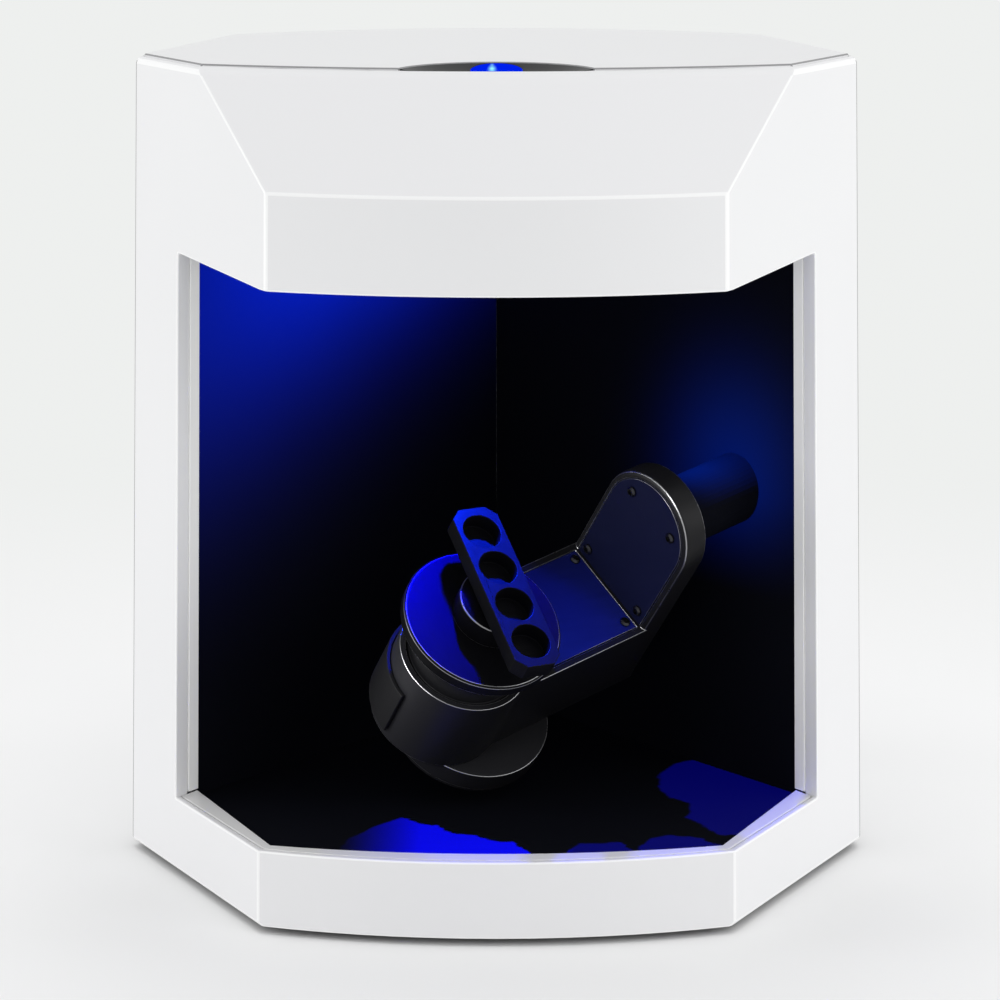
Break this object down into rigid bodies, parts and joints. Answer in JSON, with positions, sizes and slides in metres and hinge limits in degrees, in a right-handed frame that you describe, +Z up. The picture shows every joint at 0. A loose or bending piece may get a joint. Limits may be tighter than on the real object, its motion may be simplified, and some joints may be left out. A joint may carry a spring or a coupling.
{
  "type": "desktop 3d scanner",
  "caption": "Desktop 3D scanner with a hooded open front, a V-shaped scan chamber and a swinging arm that carries a turntable.",
  "frame": {"origin": "middle of the footprint, on the surface it stands on", "axes": "+Z up, -Y out of the open front, +X to the right of someone who faces the front"},
  "size_m": [0.2994, 0.253, 0.326],
  "materials": {
    "white_shell": "satin white moulded plastic",
    "grey_trim": "satin grey trim",
    "chamber_black": "matt black, light absorbing",
    "black_gloss": "smoked gloss black",
    "arm_casting": "black anodised satin",
    "arm_plate": "black anodised, fine brushed",
    "disc_metal": "black anodised with polished edge",
    "steel": "machined steel",
    "screw_steel": "black oxide steel",
    "rubber": "moulded rubber",
    "circuit": "green circuit board",
    "window_glass": "clear window",
    "key_light": "translucent key lit blue",
    "dark_plastic": "fine textured dark plastic",
    "cast_aluminium": "cast aluminium"
  },
  "bodies": {
    "casing": {"rear_panel": "dark_plastic", "power_inlet": "dark_plastic", "switch_frame": "dark_plastic", "data_socket": "steel", "fan_frame": "dark_plastic", "pivot_pod": "chamber_black", "pivot_bearing_front": "steel", "pivot_bearing_rear": "steel", "motor_mount": "arm_casting", "swing_motor": "screw_steel", "front_shell": "white_shell", "rear_shell": "white_shell", "top_cover": "white_shell", "status_dish": "black_gloss", "key_board": "circuit", "base_pan": "dark_plastic", "rubber_foot_1": "rubber", "rubber_foot_2": "rubber", "rubber_foot_3": "rubber", "rubber_foot_4": "rubber", "left_wall": "chamber_black", "right_wall": "chamber_black", "chamber_floor": "chamber_black", "chamber_ceiling": "chamber_black", "scan_window": "window_glass", "sill_tread": "grey_trim", "bezel_right": "grey_trim", "bezel_left": "grey_trim", "head_bracket": "cast_aluminium", "projector_body": "dark_plastic", "projector_lens": "black_gloss", "camera_body_left": "dark_plastic", "camera_lens_left": "black_gloss", "camera_body_right": "dark_plastic", "camera_lens_right": "black_gloss", "main_board": "circuit", "power_supply": "steel"},
    "swing_arm": {"pivot_shaft": "steel", "arm_body": "arm_casting", "arm_plate": "arm_plate", "shelf_plate": "arm_plate", "arm_plate_screw_1": "screw_steel", "arm_plate_screw_2": "screw_steel", "arm_plate_screw_3": "screw_steel", "arm_plate_screw_4": "screw_steel", "shelf_screw_1": "screw_steel", "shelf_screw_2": "screw_steel", "cup_lid": "arm_casting", "turntable_motor": "screw_steel", "turntable_bearing": "dark_plastic", "rear_guard": "dark_plastic", "drive_housing": "arm_casting", "drive_cap": "dark_plastic"},
    "turntable": {"turntable_disc": "disc_metal"},
    "holder": {"holder_puck": "disc_metal", "carrier_bar": "disc_metal"},
    "power_key": {"power_key": "key_light"},
    "rocker": {"rocker_switch": "black_gloss"},
    "fan_rotor": {"fan_rotor": "dark_plastic"}
  },
  "joints": [
    {"name": "arm_swing", "type": "hinge", "parent": "casing", "child": "swing_arm", "pos_m": [0.05813, -0.04, 0.1417], "axis": [-0.7476, -0.6388, -0.1817], "range_deg": [-40, 120]},
    {"name": "turntable_turn", "type": "hinge", "parent": "swing_arm", "child": "turntable", "pos_m": [0.00026, -0.08944, 0.12763], "axis": [0.3185, -0.5849, 0.746], "continuous": true},
    {"name": "holder_lift", "type": "slide", "parent": "turntable", "child": "holder", "axis": [0.3185, -0.5849, 0.746], "range_m": [0, 0.05]},
    {"name": "key_press", "type": "slide", "parent": "casing", "child": "power_key", "axis": [0, 0, -1], "range_m": [0, 0.001], "stiffness_N_per_m": 300},
    {"name": "rocker_tilt", "type": "hinge", "parent": "casing", "child": "rocker", "pos_m": [0.07826, 0.0951, 0.042], "axis": [0.9375, -0.348, 0], "range_deg": [0, 16]},
    {"name": "fan_spin", "type": "hinge", "parent": "casing", "child": "fan_rotor", "pos_m": [-0.07084, 0.10429, 0.165], "axis": [-0.348, 0.9375, 0], "continuous": true}
  ]
}
